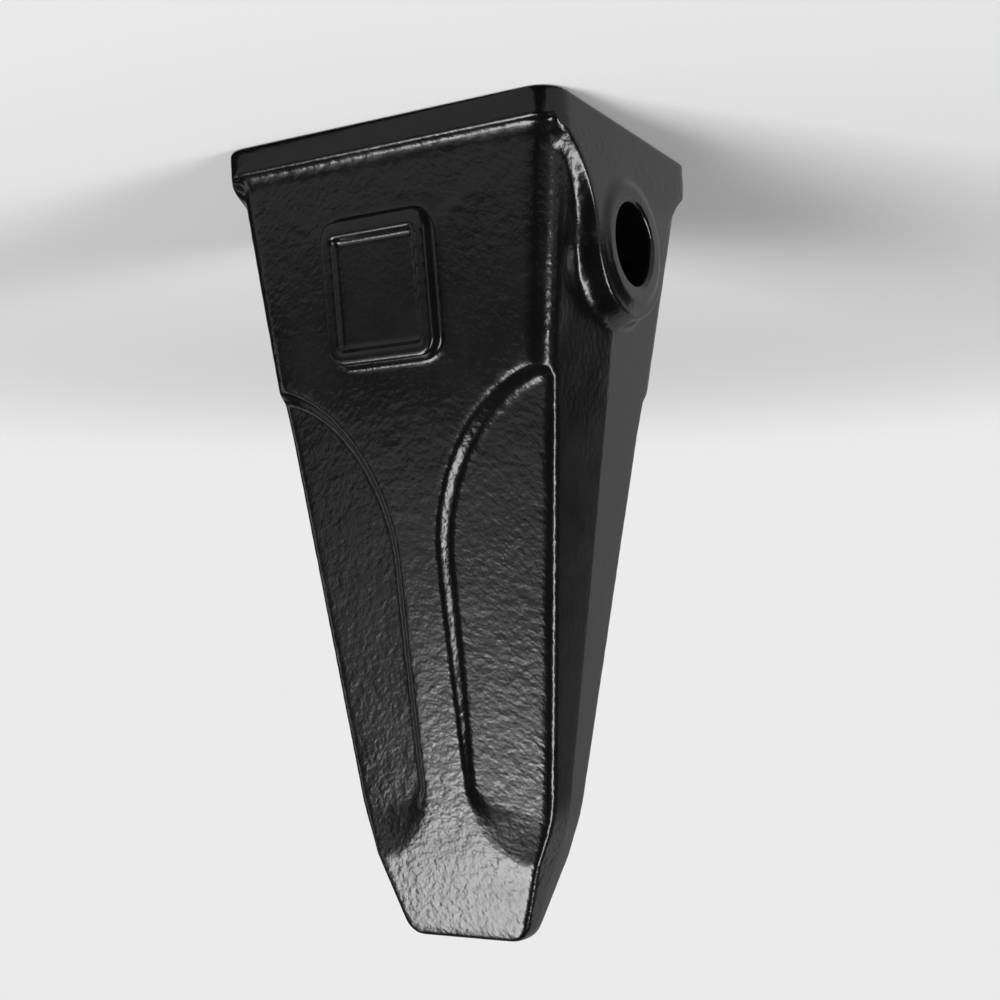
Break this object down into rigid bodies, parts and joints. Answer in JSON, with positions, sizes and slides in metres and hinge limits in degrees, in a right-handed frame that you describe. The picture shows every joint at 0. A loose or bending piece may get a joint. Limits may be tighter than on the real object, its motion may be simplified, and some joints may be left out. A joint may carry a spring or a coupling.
{
  "type": "bucket tooth",
  "caption": "Cast excavator bucket tooth with a tapered socket, a side pin hole through two bossed ears, scooped faces with a rib between them and a blunt digging edge.",
  "frame": {"origin": "centre of the socket's mouth, on the plane that the rim stands on", "axes": "+Z from the mouth to the digging edge, X across the width and along the pin hole, -Y towards the broad face with the panel"},
  "size_m": [0.1114, 0.0888, 0.225],
  "materials": {
    "black_paint": "semi-gloss black over a cast skin"
  },
  "bodies": {
    "root": {"bucket_tooth": "black_paint"}
  },
  "joints": []
}
